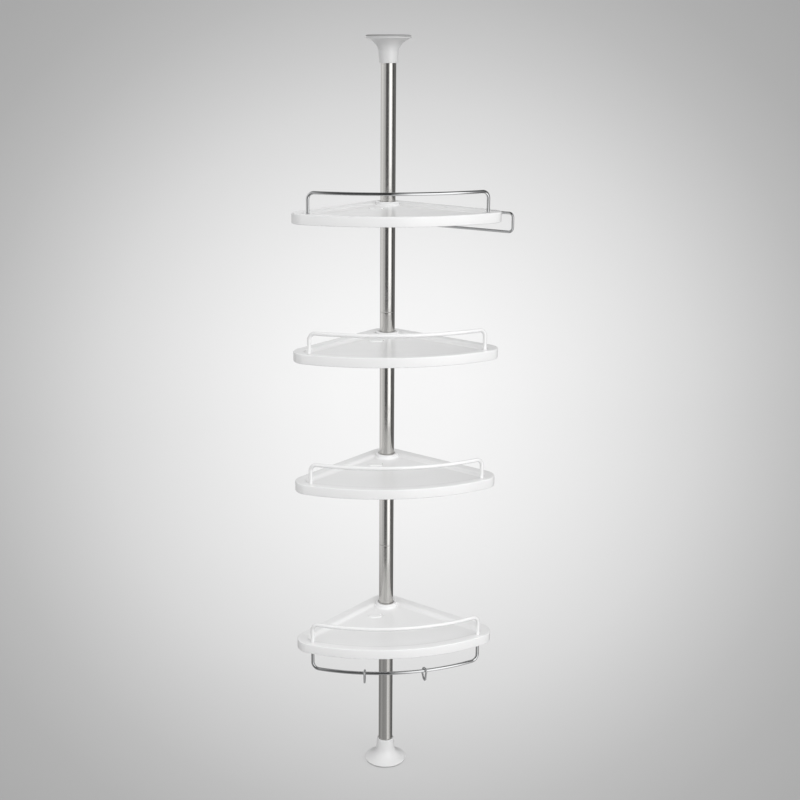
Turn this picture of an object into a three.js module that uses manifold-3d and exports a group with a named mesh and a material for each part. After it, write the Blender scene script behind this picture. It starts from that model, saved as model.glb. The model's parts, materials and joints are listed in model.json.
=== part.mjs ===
// Corner shelf unit on a spring-loaded tension pole: four moulded trays clamp to a steel pole that is
// wedged between floor and ceiling. Millimetres, +Z up. The origin is the middle of the foot's
// underside, the pole stands on +Z, the room's corner lies towards +Y and the curved fronts face -Y.

import * as THREE from "three";
import { mergeVertices } from "three/addons/utils/BufferGeometryUtils.js";
import Module from "manifold-3d";

const wasm = await Module();
wasm.setup();

// Clearances
const fitGap = 0.3; // between pieces that touch
const overrun = 4; // how far a cutting tool passes the face that it cuts
const weld = 1e-4; // vertices closer than this are one

// Pole: three plug-together tubes
const poleRadius = 12.5;
const tubeWall = 1;
const tubeLength = 416;
const connectorLength = 70;
const connectorWall = 1.8;

// Trumpet-shaped end cups and their rubber pads
const cupHeight = 44; // from the pad's face to the mouth
const cupRimRadius = 37;
const cupSleeveWall = 3.4; // at the waist
const cupMouthWall = 2.2;
const cupEndWall = 3;
const cupRimEdge = 2;
const cupShellWall = 2.2;
const cupFlareHeight = 20;
const cupLip = 1; // rounding of the mouth
const cupRibThickness = 1.6;
const flareWaistShare = 0.1; // how far out the flare's curve is still drawn in, of its overhang
const flareKneeShare = 0.31; // height of that point, of the flare's height
const padThickness = 3;
const padFlatRadius = 24;
const padEdge = 1.6;
const padPlugRadius = 28;
const padPlugHeight = 2.5;
const padPlugWall = 2.4;

// Spring drive in the upper tube
const sleeveOverlap = 12.5; // of the ceiling cup over the tube, at rest
const bushLength = 20;
const bushFlange = 1.5;
const rodRadius = 4;
const rodHeadRadius = 9.5;
const rodHeadThickness = 2.5;
const stopThickness = 3;
const springLength = 62;
const springWireRadius = 0.9;
const seatLength = 14;
const seatSpigotLength = 8;
const seatSpigotWall = 2;

// Heights of the tray rims, as shares of the pole's length
const topTrayShare = 0.8132;
const upperTrayShare = 0.639;
const lowerTrayShare = 0.4668;
const bottomTrayShare = 0.2442;

// Tray outline: two wall sides that meet at a right angle behind the pole, and a bowed front
const apexBehindPole = 47; // sharp meeting point of the wall sides
const wallSideLength = 256; // to the sharp front corners
const frontBow = 57.3;
const cornerRadius = 29;
const apexRadius = 30;

// Tray section: a wide flat rim round a shallow recess
const trayDepth = 16;
const trayEdge = 1.6;
const rimWidth = 19;
const recessDepth = 5;
const floorThickness = 3;
const floorFillet = 2.5;
const skirtWall = 2.6;
const ribThickness = 1.8;
const gussetReach = 26;

// Hub and the wedge clips inside it
const hubRadius = 19.3;
const hubRise = 1.8; // above the rim
const hubDrop = 30; // below the rim
const hubLip = 2;
const clipSink = 0.9; // of the clip's top below the hub's
const clipTopWall = 1.2;
const clipBottomWall = 3.2;
const clipFlangeRadius = 18.4;
const clipFlangeThickness = 2;
const clipSplit = 1.2;

// Raised oval pad on the tray's floor beside the hub, with a drain hole at its right end
const padX = -24.5;
const padY = -46;
const padLength = 24;
const padWidth = 13;
const padRise = 1.5;
const drainX = -13;
const drainY = -41.5;
const drainRadius = 3.2;

// Guard rails: a leg at each end and a run that follows the tray's front
const railInset = 11.5;
const railSideInset = 24.3; // of the legs from the tray's widest place
const railHeight = 32.5;
const railBend = 11;
const coatedWireRadius = 3.2;
const chromeWireRadius = 2.6;
const socketDepth = 7.7;
const socketWall = 3;
const hangingRailDrop = 31; // below the tray
const hangingSocketDepth = 5.5;
const hangingWireRadius = 2.7;

// Towel loop beside the top tray, in an upright plane through the pole
const loopBearing = THREE.MathUtils.degToRad(-39);
const loopOverhang = 19.8; // of its outer wire over the tray's edge
const loopTopDrop = 1.9;
const loopHeight = 29.3;
const loopBend = 7;
const loopWireRadius = 2.1;
const loopSeatLength = 26.2; // of its upper wire inside the tray's edge
const loopInnerEnd = 60;
const loopBlockWall = 2.6;
const loopBlockDrop = 0.7; // of its top below the rim
const loopSocketDrop = 8.5; // below the tray's floor
const loopSocketWall = 2.2;

// Hooks on the hanging rail
const hookWireRadius = 1.6;
const hookCurlRadius = 5.2; // round the rail
const hookBendRadius = 2.6; // at the bottom
const hookHeight = 24.2;
const hookTipLength = 10.5;
const leftHookBearing = THREE.MathUtils.degToRad(-10.5);
const rightHookBearing = THREE.MathUtils.degToRad(8.5);
const rightHookTwist = THREE.MathUtils.degToRad(18);
const hookMouth = THREE.MathUtils.degToRad(20); // where the curl starts, up from straight back
const hookFlare = THREE.MathUtils.degToRad(35); // of the tip, from upright
const hookLean = THREE.MathUtils.degToRad(10); // at which it hangs in balance

// Counts
const roundSides = 24;
const wireSides = 8;
const springSides = 5;
const bendSteps = 4;
const runSteps = 14;
const frontSteps = 18;
const cornerSteps = 5;
const apexSteps = 4;
const edgeSteps = 2;
const cupRibs = 6;
const springTurns = 11;
const stepsPerTurn = 8;
const hookSteps = 9;
const ribBearings = [-167, -134, -90, -46, -13].map(THREE.MathUtils.degToRad);

// Materials
const whitePlastic = new THREE.MeshStandardMaterial({ color: 0xf1f1ef, roughness: 0.38, metalness: 0 });
const whiteCoating = new THREE.MeshStandardMaterial({ color: 0xf4f4f2, roughness: 0.3, metalness: 0 });
const stainless = new THREE.MeshStandardMaterial({ color: 0xb4b1ab, roughness: 0.28, metalness: 1 });
const chrome = new THREE.MeshStandardMaterial({ color: 0xd4d6d9, roughness: 0.08, metalness: 1 });
const springSteel = new THREE.MeshStandardMaterial({ color: 0x8d8f92, roughness: 0.35, metalness: 1 });
const greyRubber = new THREE.MeshStandardMaterial({ color: 0xb9b9b6, roughness: 0.8, metalness: 0 });
const innerPlastic = new THREE.MeshStandardMaterial({ color: 0xd9d9d6, roughness: 0.5, metalness: 0 });

// Derived sizes of the pole
const boreRadius = poleRadius - tubeWall;
const plugRadius = boreRadius - fitGap;
const socketRadius = poleRadius + fitGap;
const sleeveRadius = socketRadius + cupSleeveWall;
const mouthRadius = socketRadius + cupMouthWall;
const cupFloor = padThickness + fitGap; // where the cup's underside starts
const cupSeat = cupFloor + cupEndWall; // bottom of its socket
const poleBottom = cupSeat + fitGap;
const tubeNames = ["lower_tube", "middle_tube", "upper_tube"];
const tubePitch = tubeLength + fitGap;
const poleTop = poleBottom + tubeNames.length * tubePitch - fitGap;
const ceiling = poleTop - sleeveOverlap + cupHeight;
const trayHeight = (share) => poleBottom + (poleTop - poleBottom) * share;

// Derived sizes of the tray outline
const halfRoot = Math.SQRT1_2;
const sharpHalfWidth = wallSideLength * halfRoot;
const frontRadius = (sharpHalfWidth ** 2 + frontBow ** 2) / (2 * frontBow);
const frontCentre = apexBehindPole - sharpHalfWidth - frontBow + frontRadius;
const apexCentre = apexBehindPole - apexRadius / halfRoot;
const cornerLine = apexBehindPole - cornerRadius / halfRoot;
const cornerReach = cornerLine - frontCentre;
const cornerX =
  (cornerReach + Math.sqrt(2 * (frontRadius - cornerRadius) ** 2 - cornerReach ** 2)) / 2;
const cornerY = cornerLine - cornerX;
const cornerAngle = Math.atan2(cornerY - frontCentre, cornerX);
const railHalfSpan = cornerX + cornerRadius - railSideInset;
const railRadius = frontRadius - railInset;
const railY = frontCentre - Math.sqrt(railRadius ** 2 - railHalfSpan ** 2);
const trayUnderside = recessDepth + floorThickness;
const webMiddle = floorThickness / 2; // from a face of the moulding's wall to its middle
const ribHeight = trayDepth - trayEdge / 2;
const clipTop = hubRise - clipSink;
const clipBottom = -hubDrop - fitGap;

// Where the loop's plane crosses the round of the tray's corner, from the pole's axis
const cornerAlong = cornerX * Math.cos(loopBearing) + cornerY * Math.sin(loopBearing);
const cornerAcross = cornerY * Math.cos(loopBearing) - cornerX * Math.sin(loopBearing);
const loopEdge = cornerAlong + Math.sqrt(cornerRadius ** 2 - cornerAcross ** 2);
const loopReach = loopEdge + loopOverhang;
const loopUpperEnd = loopEdge - loopSeatLength;

// Turns a closed geometry into a solid that can be joined and cut
function solidOf(geometry) {
  const bare = geometry.index ? geometry.toNonIndexed() : geometry.clone();
  bare.deleteAttribute("normal");
  bare.deleteAttribute("uv");
  const merged = mergeVertices(bare, weld);
  return new wasm.Manifold(
    new wasm.Mesh({
      numProp: 3,
      vertProperties: new Float32Array(merged.attributes.position.array),
      triVerts: new Uint32Array(merged.index.array),
    }),
  );
}

// Turns a solid back into a geometry
function geometryOf(solid) {
  const mesh = solid.getMesh();
  const geometry = new THREE.BufferGeometry();
  geometry.setAttribute("position", new THREE.BufferAttribute(mesh.vertProperties, mesh.numProp));
  geometry.setIndex(new THREE.BufferAttribute(mesh.triVerts, 1));
  geometry.computeVertexNormals();
  return geometry;
}

const joined = (first, ...others) => others.reduce((sum, next) => sum.add(next), first);
const cut = (first, ...others) => others.reduce((rest, next) => rest.subtract(next), first);

// A revolved solid from radius and height pairs, closed along the axis or on itself
function revolved(pairs) {
  const profile = pairs.map(([radius, height]) => new THREE.Vector2(radius, height));
  const [first] = profile;
  const last = profile[profile.length - 1];
  if (first.x > 0 || last.x > 0) profile.push(first.clone());
  return new THREE.LatheGeometry(profile, roundSides).rotateX(Math.PI / 2);
}

const pin = (radius, low, high) =>
  revolved([
    [0, low],
    [radius, low],
    [radius, high],
    [0, high],
  ]);

const ring = (inner, outer, low, high) =>
  revolved([
    [inner, low],
    [outer, low],
    [outer, high],
    [inner, high],
  ]);

// Points of an arc in a profile, from one angle to another
function arcPairs(x, y, radius, from, to, steps) {
  return Array.from({ length: steps + 1 }, (_, i) => {
    const angle = from + ((to - from) * i) / steps;
    return [x + radius * Math.cos(angle), y + radius * Math.sin(angle)];
  });
}

// The tray's outline moved inwards: every arc keeps its centre and loses the inset from its radius
function trayOutline(inset) {
  const right = Math.PI / 4;
  const arcs = [
    [0, frontCentre, frontRadius, -Math.PI - cornerAngle, cornerAngle, frontSteps],
    [cornerX, cornerY, cornerRadius, cornerAngle, right, cornerSteps],
    [0, apexCentre, apexRadius, right, Math.PI - right, apexSteps],
    [-cornerX, cornerY, cornerRadius, Math.PI - right, Math.PI - cornerAngle, cornerSteps],
  ];
  const points = arcs.flatMap(([x, y, radius, from, to, steps], index) => {
    const pairs = arcPairs(x, y, radius - inset, from, to, steps);
    return index % 2 ? pairs.slice(1, index === 3 ? -1 : undefined) : pairs;
  });
  // The front arc and its two corners share their end points
  return new THREE.Shape(points.map(([x, y]) => new THREE.Vector2(x, y)));
}

// A tray-shaped block between two heights, its edges rounded inwards
function trayBlock(inset, low, high, edge) {
  const geometry = new THREE.ExtrudeGeometry(trayOutline(inset), {
    depth: high - low - 2 * edge,
    bevelEnabled: edge > 0,
    bevelThickness: edge,
    bevelSize: edge,
    bevelOffset: -edge,
    bevelSegments: edgeSteps,
  });
  return geometry.translate(0, 0, low + edge);
}

// A cylinder that stands at a place in plan
const post = (x, y, radius, low, high) => pin(radius, low, high).translate(x, y, 0);

// An upright plate that runs out from the pole at a bearing: its outline is given as distance from
// the axis and height
function fin(outline, thickness, bearing) {
  const shape = new THREE.Shape(outline.map(([reach, height]) => new THREE.Vector2(reach, height)));
  const plate = new THREE.ExtrudeGeometry(shape, { depth: thickness, bevelEnabled: false });
  return plate
    .translate(0, 0, -thickness / 2)
    .rotateX(Math.PI / 2)
    .rotateZ(bearing);
}

const finBox = (from, to, low, high, thickness, bearing) =>
  fin(
    [
      [from, low],
      [to, low],
      [to, high],
      [from, high],
    ],
    thickness,
    bearing,
  );

// A path through given stations, stepped from station to station
class StationPath extends THREE.Curve {
  constructor(stations) {
    super();
    this.stations = stations;
  }
  getPoint(t, target = new THREE.Vector3()) {
    const last = this.stations.length - 1;
    const place = Math.min(Math.max(t, 0), 1) * last;
    const index = Math.min(Math.floor(place), last - 1);
    return target.lerpVectors(this.stations[index], this.stations[index + 1], place - index);
  }
  getPointAt(u, target) {
    return this.getPoint(u, target);
  }
  getTangentAt(u, target) {
    return this.getTangent(u, target);
  }
  getSpacedPoints(steps) {
    return this.getPoints(steps);
  }
}

// A round wire along stations
function wire(stations, radius, sides = wireSides) {
  const section = new THREE.Shape(
    Array.from({ length: sides }, (_, i) => {
      const angle = (2 * Math.PI * (i + 1 / 2)) / sides;
      return new THREE.Vector2(radius * Math.cos(angle), radius * Math.sin(angle));
    }),
  );
  return new THREE.ExtrudeGeometry(section, {
    steps: stations.length - 1,
    extrudePath: new StationPath(stations),
  });
}

// Stations of a bent wire: the corners of its flat outline are rounded to one bend radius, the
// straights get the given numbers of steps, and a function places each flat point in space
function bentStations(corners, bend, steps, place) {
  const flat = [corners[0]];
  corners.slice(1, -1).forEach((corner, i) => {
    const before = corners[i].clone().sub(corner).normalize();
    const after = corners[i + 2].clone().sub(corner).normalize();
    const middle = before.clone().add(after).normalize();
    const half = Math.acos(before.dot(after)) / 2;
    const centre = corner.clone().addScaledVector(middle, bend / Math.sin(half));
    const reach = bend / Math.tan(half);
    const start = corner.clone().addScaledVector(before, reach);
    const end = corner.clone().addScaledVector(after, reach);
    addStraight(flat, start, steps[i]);
    const from = start.clone().sub(centre);
    const turn = from.angleTo(end.clone().sub(centre)) * Math.sign(from.cross(end.clone().sub(centre)));
    for (let k = 1; k <= bendSteps; k += 1) {
      flat.push(start.clone().rotateAround(centre, (turn * k) / bendSteps));
    }
  });
  addStraight(flat, corners[corners.length - 1], steps[steps.length - 1]);
  return flat.map(place);
}

function addStraight(flat, end, steps) {
  const start = flat[flat.length - 1].clone();
  for (let k = 1; k <= steps; k += 1) flat.push(start.clone().lerp(end, k / steps));
}

// Wraps a flat point, distance along the front and height, on the cylinder that the rails follow
const onFront = (height) => (point) =>
  new THREE.Vector3(
    railRadius * Math.sin(point.x / railRadius),
    frontCentre - railRadius * Math.cos(point.x / railRadius),
    height + point.y,
  );

// A rail: both legs start at one height and the run lies at another
function rail(legEnd, run, radius, height) {
  const side = railRadius * Math.asin(railHalfSpan / railRadius);
  const corners = [
    new THREE.Vector2(-side, legEnd),
    new THREE.Vector2(-side, run),
    new THREE.Vector2(side, run),
    new THREE.Vector2(side, legEnd),
  ];
  return wire(bentStations(corners, railBend, [1, runSteps, 1], onFront(height)), radius);
}

// Cups. Height is measured from the pad's face towards the mouth.
function flareCurve(outset, low) {
  const rim = cupRimRadius - outset;
  const waist = sleeveRadius - outset;
  return new THREE.QuadraticBezierCurve(
    new THREE.Vector2(rim, low),
    new THREE.Vector2(waist + (rim - waist) * flareWaistShare, low + cupFlareHeight * flareKneeShare),
    new THREE.Vector2(waist, low + cupFlareHeight),
  );
}

function cupGeometry() {
  const rimTop = cupFloor + cupRimEdge;
  const flare = flareCurve(0, rimTop)
    .getPoints(cornerSteps)
    .map(({ x, y }) => [x, y]);
  const shell = revolved([
    [0, cupFloor],
    [cupRimRadius - cupRimEdge / 2, cupFloor],
    [cupRimRadius, cupFloor + cupRimEdge / 2],
    ...flare,
    ...arcPairs(mouthRadius - cupLip, cupHeight - cupLip, cupLip, 0, Math.PI / 2, edgeSteps),
    [socketRadius, cupHeight],
    [socketRadius, cupSeat],
    [0, cupSeat],
  ]);
  // Hollow underside between the flare's shell and the socket, crossed by ribs
  const inside = flareCurve(cupShellWall, cupFloor)
    .getPoints(cornerSteps)
    .map(({ x, y }) => [x, y])
    .filter(([x]) => x > sleeveRadius);
  const hollowPairs = [
    ...inside,
    [sleeveRadius, inside[inside.length - 1][1]],
    [sleeveRadius, cupFloor - overrun],
    [cupRimRadius - cupShellWall, cupFloor - overrun],
  ];
  const hollow = solidOf(revolved(hollowPairs));
  const ribs = Array.from({ length: cupRibs }, (_, i) =>
    solidOf(
      finBox(
        poleRadius,
        cupRimRadius,
        cupFloor + padPlugHeight,
        cupHeight,
        cupRibThickness,
        (2 * Math.PI * i) / cupRibs,
      ),
    ),
  );
  return cut(solidOf(shell), cut(hollow, ...ribs));
}

function padGeometry() {
  const edgeRadius = cupRimRadius - cupRimEdge / 2;
  const plugTop = padThickness + padPlugHeight - fitGap;
  // A flat disc that curves up to the edge along a quarter ellipse
  const crown = arcPairs(0, 0, 1, -Math.PI / 2, 0, cornerSteps).map(([across, up]) => [
    padFlatRadius + across * (edgeRadius - padFlatRadius),
    padEdge * (1 + up),
  ]);
  return revolved([
    [0, 0],
    ...crown,
    [edgeRadius, padThickness],
    [padPlugRadius, padThickness],
    [padPlugRadius, plugTop],
    [padPlugRadius - padPlugWall, plugTop],
    [padPlugRadius - padPlugWall, padThickness],
    [0, padThickness],
  ]);
}

// The raised oval pad, sunk a little into the tray's floor, its upper edge rounded
function ovalPad() {
  const end = padWidth / 2;
  const half = padLength / 2 - end;
  const outline = new THREE.Shape();
  outline.absarc(padX + half, padY, end, -Math.PI / 2, Math.PI / 2, false);
  outline.absarc(padX - half, padY, end, Math.PI / 2, (3 * Math.PI) / 2, false);
  const pad = new THREE.ExtrudeGeometry(outline, {
    depth: padRise,
    curveSegments: apexSteps,
    bevelThickness: padRise,
    bevelSize: padRise,
    bevelOffset: -padRise,
    bevelSegments: edgeSteps,
  });
  return pad.translate(0, 0, -recessDepth - padRise);
}

// The tray's recess, made larger all round by an outset
const recessBlock = (outset) =>
  solidOf(
    trayBlock(
      rimWidth - outset,
      -recessDepth - outset,
      overrun + floorFillet + outset,
      floorFillet + outset,
    ),
  );

// Tray of one shelf. Height zero is the top of its rim.
function traySolid({ railWire, hangingRail = false, towelLoop = false }) {
  // The underside is hollow up to one thickness below the rim and round the recess
  const block = solidOf(trayBlock(0, -trayDepth, 0, trayEdge));
  const hollow = solidOf(trayBlock(skirtWall, -trayDepth - overrun, -floorThickness, 0));
  const shell = cut(block, recessBlock(0), cut(hollow, recessBlock(floorThickness)));

  const skirted = solidOf(trayBlock(skirtWall / 2, -trayDepth, -webMiddle, 0));
  const ribs = ribBearings.map((bearing) =>
    solidOf(finBox(poleRadius, wallSideLength, -ribHeight, 0, ribThickness, bearing)),
  );
  const netting = cut(skirted, recessBlock(webMiddle)).intersect(joined(...ribs));
  const gussets = ribBearings.map((bearing) =>
    solidOf(
      fin(
        [
          [poleRadius, -hubDrop + clipFlangeThickness],
          [hubRadius, -hubDrop + clipFlangeThickness],
          [hubRadius + gussetReach, -trayDepth],
          [hubRadius + gussetReach, -trayUnderside + fitGap],
          [poleRadius, -trayUnderside + fitGap],
        ],
        ribThickness,
        bearing,
      ),
    ),
  );
  const hub = revolved([
    [0, -hubDrop],
    [hubRadius, -hubDrop],
    ...arcPairs(
      hubRadius + floorFillet,
      floorFillet - recessDepth,
      floorFillet,
      (3 * Math.PI) / 2,
      Math.PI,
      edgeSteps,
    ),
    ...arcPairs(hubRadius - hubLip, hubRise - hubLip, hubLip, 0, Math.PI / 2, edgeSteps),
    [0, hubRise],
  ]);
  const railPlaces = [-railHalfSpan, railHalfSpan];
  const bossRadius = coatedWireRadius + fitGap + socketWall;
  const bosses = railPlaces.map((x) => solidOf(post(x, railY, bossRadius, -ribHeight, -webMiddle)));
  let body = joined(shell, netting, ...gussets, solidOf(hub), ...bosses, solidOf(ovalPad()));

  const tools = [
    post(drainX, drainY, drainRadius, -trayDepth, 0),
    ...railPlaces.map((x) => post(x, railY, railWire + fitGap, -socketDepth, overrun)),
    revolved([
      [0, -hubDrop - overrun],
      [clipRadiusAt(-hubDrop - overrun) + fitGap, -hubDrop - overrun],
      [clipRadiusAt(hubRise + overrun) + fitGap, hubRise + overrun],
      [0, hubRise + overrun],
    ]),
  ];
  if (hangingRail) {
    const socketRoof = -ribHeight + hangingSocketDepth;
    tools.push(
      ...railPlaces.map((x) =>
        post(x, railY, hangingWireRadius + fitGap, -trayDepth - overrun, socketRoof),
      ),
    );
  }
  if (towelLoop) {
    const grooveRadius = loopWireRadius + fitGap;
    const seat = finBox(
      loopUpperEnd - fitGap - loopBlockWall,
      loopEdge,
      -recessDepth - webMiddle,
      -loopBlockDrop,
      2 * (grooveRadius + loopBlockWall),
      loopBearing,
    );
    const innerX = loopInnerEnd * Math.cos(loopBearing);
    const innerY = loopInnerEnd * Math.sin(loopBearing);
    const socketLow = -trayUnderside - loopSocketDrop;
    const boss = post(innerX, innerY, grooveRadius + loopSocketWall, socketLow, -recessDepth - fitGap);
    const limit = solidOf(trayBlock(skirtWall / 2, -trayDepth, 0, 0));
    body = joined(body, solidOf(seat).intersect(limit), solidOf(boss));
    const groove = pin(grooveRadius, 0, loopReach)
      .rotateY(Math.PI / 2)
      .translate(loopUpperEnd - fitGap, 0, -loopTopDrop)
      .rotateZ(loopBearing);
    const slot = finBox(
      loopUpperEnd - fitGap,
      2 * loopReach,
      -loopTopDrop,
      overrun,
      2 * grooveRadius,
      loopBearing,
    );
    tools.push(groove, slot, post(innerX, innerY, grooveRadius, socketLow - overrun, -trayUnderside));
  }
  return cut(body, ...tools.map(solidOf));
}

// Outer radius of the clips at a height: the wedge widens downwards, so the tray's weight tightens it
function clipRadiusAt(height) {
  const share = (clipTop - height) / (clipTop - clipBottom);
  return socketRadius + clipTopWall + (clipBottomWall - clipTopWall) * share;
}

// The two halves of a shelf's split wedge sleeve
function clipHalves() {
  const flangeBottom = clipBottom - clipFlangeThickness;
  const sleeve = solidOf(
    revolved([
      [socketRadius, flangeBottom],
      [clipFlangeRadius, flangeBottom],
      [clipFlangeRadius, clipBottom],
      [clipRadiusAt(clipBottom), clipBottom],
      [clipRadiusAt(clipTop), clipTop],
      [socketRadius, clipTop],
    ]),
  );
  const size = 2 * (clipFlangeRadius + overrun);
  const half = new THREE.BoxGeometry(size, size / 2, clipTop - flangeBottom + 2 * overrun);
  const middle = (clipTop + flangeBottom) / 2;
  return [-1, 1].map((side) => {
    const part = half.clone().translate(0, (side * (size / 2 + clipSplit)) / 2, middle);
    return sleeve.intersect(solidOf(part));
  });
}

// A wire hook that hangs on the rail, whose centre lies at the origin: a curl over the rail, a shank
// down its front, and a bend at the bottom that ends in a tip behind
function hookGeometry(twist) {
  const crown = hangingWireRadius + fitGap + hookWireRadius;
  const curlHeight = crown - hookCurlRadius;
  const bendHeight = crown + 2 * hookWireRadius - hookHeight + hookBendRadius;
  const bendAcross = hookBendRadius - hookCurlRadius;
  const bend = arcPairs(
    bendAcross,
    bendHeight,
    hookBendRadius,
    Math.PI,
    2 * Math.PI - hookFlare,
    hookSteps,
  );
  const [tipAcross, tipHeight] = bend[bend.length - 1];
  const flat = [
    ...arcPairs(0, curlHeight, hookCurlRadius, hookMouth, Math.PI, hookSteps),
    ...bend,
    [tipAcross + hookTipLength * Math.sin(hookFlare), tipHeight + hookTipLength * Math.cos(hookFlare)],
  ];
  const stations = flat.map(([across, height]) => new THREE.Vector3(0, across, height));
  return wire(stations, hookWireRadius).rotateX(hookLean).rotateZ(twist);
}

// Helical spring between two heights
function springGeometry(low, high) {
  const coilRadius = plugRadius - fitGap - springWireRadius;
  const steps = springTurns * stepsPerTurn;
  const start = low + springWireRadius;
  const rise = high - low - 2 * springWireRadius;
  const stations = Array.from({ length: steps + 1 }, (_, i) => {
    const angle = (2 * Math.PI * i) / stepsPerTurn;
    return new THREE.Vector3(
      coilRadius * Math.cos(angle),
      coilRadius * Math.sin(angle),
      start + (rise * i) / steps,
    );
  });
  return wire(stations, springWireRadius, springSides);
}

// Assembly
const unit = new THREE.Group();

function place(parent, name, shape, material) {
  const geometry = shape.isBufferGeometry ? shape : geometryOf(shape);
  const mesh = new THREE.Mesh(geometry, material);
  mesh.name = name;
  parent.add(mesh);
  return mesh;
}

// Foot
place(unit, "foot_pad", padGeometry(), greyRubber);
place(unit, "foot_cup", cupGeometry(), whitePlastic);

// Tubes, and the connector inside each seam
tubeNames.forEach((name, i) => {
  const low = poleBottom + i * tubePitch;
  place(unit, name, ring(boreRadius, poleRadius, low, low + tubeLength), stainless);
});
["lower_connector", "upper_connector"].forEach((name, i) => {
  const seam = poleBottom + (i + 1) * tubePitch - fitGap / 2;
  const half = connectorLength / 2;
  place(unit, name, ring(plugRadius - connectorWall, plugRadius, seam - half, seam + half), innerPlastic);
});

// Spring drive: guide bush on the tube's end, plunger with its stop disc, spring and spring seat
const bushBottom = poleTop - bushLength;
const bushTop = poleTop + fitGap + bushFlange;
place(
  unit,
  "guide_bush",
  revolved([
    [rodRadius + fitGap, bushBottom],
    [plugRadius, bushBottom],
    [plugRadius, poleTop + fitGap],
    [poleRadius, poleTop + fitGap],
    [poleRadius, bushTop],
    [rodRadius + fitGap, bushTop],
  ]),
  innerPlastic,
);
const stopTop = bushBottom - fitGap;
const stopBottom = stopTop - stopThickness;
const headTop = ceiling - cupSeat - fitGap;
const stopRadius = plugRadius - fitGap;
place(
  unit,
  "plunger_rod",
  pin(rodRadius, stopBottom + stopThickness / 2, headTop - rodHeadThickness - fitGap),
  springSteel,
);
place(unit, "plunger_head", pin(rodHeadRadius, headTop - rodHeadThickness, headTop), springSteel);
place(
  unit,
  "stop_disc",
  cut(
    solidOf(pin(stopRadius, stopBottom, stopTop)),
    solidOf(pin(rodRadius + fitGap, stopBottom + stopThickness / 2 - fitGap, stopTop + overrun)),
  ),
  springSteel,
);
const springTop = stopBottom - fitGap;
const springBottom = springTop - springLength;
place(unit, "tension_spring", springGeometry(springBottom, springTop), springSteel);
const seatTop = springBottom - fitGap;
place(
  unit,
  "spring_seat",
  revolved([
    [0, seatTop - seatLength],
    [plugRadius, seatTop - seatLength],
    [plugRadius, seatTop],
    [plugRadius - 2 * springWireRadius - 2 * fitGap - seatSpigotWall, seatTop],
    [plugRadius - 2 * springWireRadius - 2 * fitGap - seatSpigotWall, seatTop + seatSpigotLength],
    [0, seatTop + seatSpigotLength],
  ]),
  innerPlastic,
);

// Ceiling end, the foot's parts turned over
const ceilingEnd = new THREE.Group();
ceilingEnd.position.z = ceiling;
ceilingEnd.rotation.x = Math.PI;
unit.add(ceilingEnd);
place(ceilingEnd, "ceiling_pad", padGeometry(), greyRubber);
place(ceilingEnd, "ceiling_cup", cupGeometry(), whitePlastic);

// Shelves
const shelves = [
  { name: "top", height: trayHeight(topTrayShare), railWire: chromeWireRadius, metal: chrome, towelLoop: true },
  { name: "upper", height: trayHeight(upperTrayShare), railWire: coatedWireRadius, metal: whiteCoating },
  { name: "lower", height: trayHeight(lowerTrayShare), railWire: coatedWireRadius, metal: whiteCoating },
  {
    name: "bottom",
    height: trayHeight(bottomTrayShare),
    railWire: coatedWireRadius,
    metal: whiteCoating,
    hangingRail: true,
  },
];
const legBottom = fitGap - socketDepth;
for (const shelf of shelves) {
  const group = new THREE.Group();
  group.position.z = shelf.height;
  unit.add(group);
  place(group, `${shelf.name}_tray`, traySolid(shelf), whitePlastic);
  place(group, `${shelf.name}_rail`, rail(legBottom, railHeight, shelf.railWire, 0), shelf.metal);
  const [front, rear] = clipHalves();
  place(group, `${shelf.name}_clip_front`, front, whitePlastic);
  place(group, `${shelf.name}_clip_rear`, rear, whitePlastic);
}

// Hanging rail under the bottom tray, with its two hooks
const bottomRim = trayHeight(bottomTrayShare);
const hangingRun = -trayDepth - hangingRailDrop;
const hangingLeg = hangingSocketDepth - fitGap - ribHeight;
place(unit, "hanging_rail", rail(hangingLeg, hangingRun, hangingWireRadius, bottomRim), chrome);
const hookPlaces = [
  ["left_hook", leftHookBearing, 0],
  ["right_hook", rightHookBearing, rightHookTwist],
];
for (const [name, bearing, twist] of hookPlaces) {
  const hook = place(unit, name, hookGeometry(bearing + twist), chrome);
  hook.position.set(
    railRadius * Math.sin(bearing),
    frontCentre - railRadius * Math.cos(bearing),
    bottomRim + hangingRun,
  );
}

// Towel loop: snapped in the top tray's corner groove, its inner end turned up into a boss
const loopCorners = [
  [loopUpperEnd, -loopTopDrop],
  [loopReach, -loopTopDrop],
  [loopReach, -loopTopDrop - loopHeight],
  [loopInnerEnd, -loopTopDrop - loopHeight],
  [loopInnerEnd, -trayUnderside - fitGap],
].map(([reach, height]) => new THREE.Vector2(reach, height));
const alongLoop = (point) =>
  new THREE.Vector3(
    point.x * Math.cos(loopBearing),
    point.x * Math.sin(loopBearing),
    trayHeight(topTrayShare) + point.y,
  );
place(
  unit,
  "towel_loop",
  wire(bentStations(loopCorners, loopBend, [1, 1, 1, 1], alongLoop), loopWireRadius),
  chrome,
);

export default unit;
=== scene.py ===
import json
import math

import bpy
import numpy as np
from mathutils import Matrix, Vector


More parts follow.
